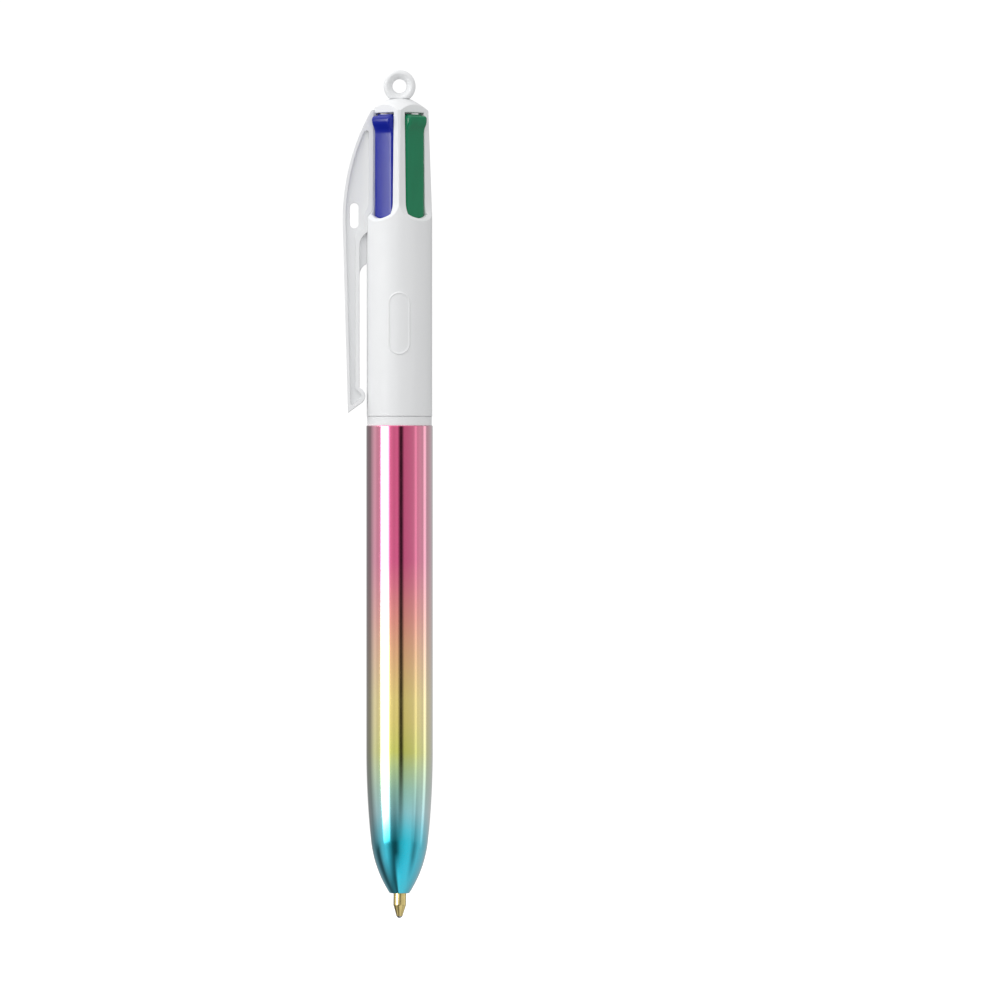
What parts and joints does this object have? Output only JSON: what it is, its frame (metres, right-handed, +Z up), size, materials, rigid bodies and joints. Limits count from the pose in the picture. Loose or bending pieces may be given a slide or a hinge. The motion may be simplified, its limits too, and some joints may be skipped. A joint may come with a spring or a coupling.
{
  "type": "multicolor click pen",
  "caption": "Retractable pen with several coloured slide buttons round its head, a moulded pocket clip, a lanyard ring and a tapered, colour-graded lower barrel.",
  "frame": {"origin": "lowest point of the writing ball of the pushed-out refill, on the pen's axis", "axes": "+Z runs up the pen from the writing point to the lanyard ring; +Y is along the lanyard ring's hole; the pocket clip stands towards -X; blue is at (-X,-Y), green at (+X,-Y), black at (+X,+Y), red at (-X,+Y)"},
  "size_m": [0.0156, 0.0116, 0.147],
  "materials": {
    "white_plastic": "glossy moulded",
    "barrel_lacquer": "metallic lacquer fading from pink through yellow to turquoise",
    "button_black": "glossy moulded",
    "button_red": "glossy moulded",
    "button_blue": "glossy moulded",
    "button_green": "glossy moulded",
    "tube_black": "translucent tube",
    "tube_red": "translucent tube",
    "tube_blue": "translucent tube",
    "tube_green": "translucent tube",
    "ink_black": "ink",
    "ink_red": "ink",
    "ink_blue": "ink",
    "ink_green": "ink",
    "grease": "clear grease",
    "spring_steel": "drawn wire",
    "tip_brass": "turned",
    "ball_steel": "polished carbide"
  },
  "bodies": {
    "pen_body": {"upper_body": "white_plastic", "clip_root": "white_plastic", "lanyard_ring": "white_plastic", "latch_core": "white_plastic", "spring_plate": "white_plastic", "black_spring": "spring_steel", "red_spring": "spring_steel", "blue_spring": "spring_steel", "green_spring": "spring_steel"},
    "clip": {"clip_arm": "white_plastic"},
    "barrel": {"joint_collar": "white_plastic", "lower_barrel": "barrel_lacquer"},
    "black_slider": {"black_button": "button_black"},
    "black_refill": {"black_refill_tube": "tube_black", "black_ink": "ink_black", "black_ink_follower": "grease", "black_tip": "tip_brass"},
    "black_point": {"black_ball": "ball_steel"},
    "red_slider": {"red_button": "button_red"},
    "red_refill": {"red_refill_tube": "tube_red", "red_ink": "ink_red", "red_ink_follower": "grease", "red_tip": "tip_brass"},
    "red_point": {"red_ball": "ball_steel"},
    "blue_slider": {"blue_button": "button_blue"},
    "blue_refill": {"blue_refill_tube": "tube_blue", "blue_ink": "ink_blue", "blue_ink_follower": "grease", "blue_tip": "tip_brass"},
    "blue_point": {"blue_ball": "ball_steel"},
    "green_slider": {"green_button": "button_green"},
    "green_refill": {"green_refill_tube": "tube_green", "green_ink": "ink_green", "green_ink_follower": "grease", "green_tip": "tip_brass"},
    "green_point": {"green_ball": "ball_steel"}
  },
  "joints": [
    {"name": "barrel_pull", "type": "slide", "parent": "pen_body", "child": "barrel", "axis": [0, 0, -1], "range_m": [0, 0.1]},
    {"name": "clip_flex", "type": "hinge", "parent": "pen_body", "child": "clip", "pos_m": [-0.00958, 0, 0.1112], "axis": [0, 1, 0], "range_deg": [0, 4.5], "stiffness_Nm_per_rad": 1.2},
    {"name": "black_slide", "type": "slide", "parent": "pen_body", "child": "black_slider", "axis": [0, 0, 1], "range_m": [0, 0.0105], "deforming": ["black_spring", "black_refill_tube", "black_ink", "black_ink_follower", "black_tip", "black_ball"]},
    {"name": "black_lean", "type": "hinge", "parent": "black_slider", "child": "black_refill", "pos_m": [0.00184, 0.00184, 0.09997], "axis": [0.7071, -0.7071, 0], "range_deg": [0, 1.5]},
    {"name": "black_ball_roll", "type": "hinge", "parent": "black_refill", "child": "black_point", "pos_m": [0, 0, 0.0005], "axis": [-0.7071, 0.7071, 0], "continuous": true},
    {"name": "red_slide", "type": "slide", "parent": "pen_body", "child": "red_slider", "axis": [0, 0, -1], "range_m": [0, 0.0105], "stiffness_N_per_m": 60, "springref_m": -0.006, "deforming": ["red_spring", "red_refill_tube", "red_ink", "red_ink_follower", "red_tip", "red_ball"]},
    {"name": "red_lean", "type": "hinge", "parent": "red_slider", "child": "red_refill", "pos_m": [-0.00184, 0.00184, 0.11047], "axis": [-0.7071, -0.7071, 0], "range_deg": [0, 1.5]},
    {"name": "red_ball_roll", "type": "hinge", "parent": "red_refill", "child": "red_point", "pos_m": [-0.00184, 0.00184, 0.01097], "axis": [-0.7071, -0.7071, 0], "continuous": true},
    {"name": "blue_slide", "type": "slide", "parent": "pen_body", "child": "blue_slider", "axis": [0, 0, -1], "range_m": [0, 0.0105], "stiffness_N_per_m": 60, "springref_m": -0.006, "deforming": ["blue_spring", "blue_refill_tube", "blue_ink", "blue_ink_follower", "blue_tip", "blue_ball"]},
    {"name": "blue_lean", "type": "hinge", "parent": "blue_slider", "child": "blue_refill", "pos_m": [-0.00184, -0.00184, 0.11047], "axis": [0.7071, -0.7071, 0], "range_deg": [0, 1.5]},
    {"name": "blue_ball_roll", "type": "hinge", "parent": "blue_refill", "child": "blue_point", "pos_m": [-0.00184, -0.00184, 0.01097], "axis": [0.7071, -0.7071, 0], "continuous": true},
    {"name": "green_slide", "type": "slide", "parent": "pen_body", "child": "green_slider", "axis": [0, 0, -1], "range_m": [0, 0.0105], "stiffness_N_per_m": 60, "springref_m": -0.006, "deforming": ["green_spring", "green_refill_tube", "green_ink", "green_ink_follower", "green_tip", "green_ball"]},
    {"name": "green_lean", "type": "hinge", "parent": "green_slider", "child": "green_refill", "pos_m": [0.00184, -0.00184, 0.11047], "axis": [0.7071, 0.7071, 0], "range_deg": [0, 1.5]},
    {"name": "green_ball_roll", "type": "hinge", "parent": "green_refill", "child": "green_point", "pos_m": [0.00184, -0.00184, 0.01097], "axis": [0.7071, 0.7071, 0], "continuous": true}
  ],
  "couplings": [
    {"joint": "black_lean", "follows": "black_slide", "rad_per_m": 2.4889},
    {"joint": "red_lean", "follows": "red_slide", "rad_per_m": 2.4889},
    {"joint": "blue_lean", "follows": "blue_slide", "rad_per_m": 2.4889},
    {"joint": "green_lean", "follows": "green_slide", "rad_per_m": 2.4889}
  ]
}
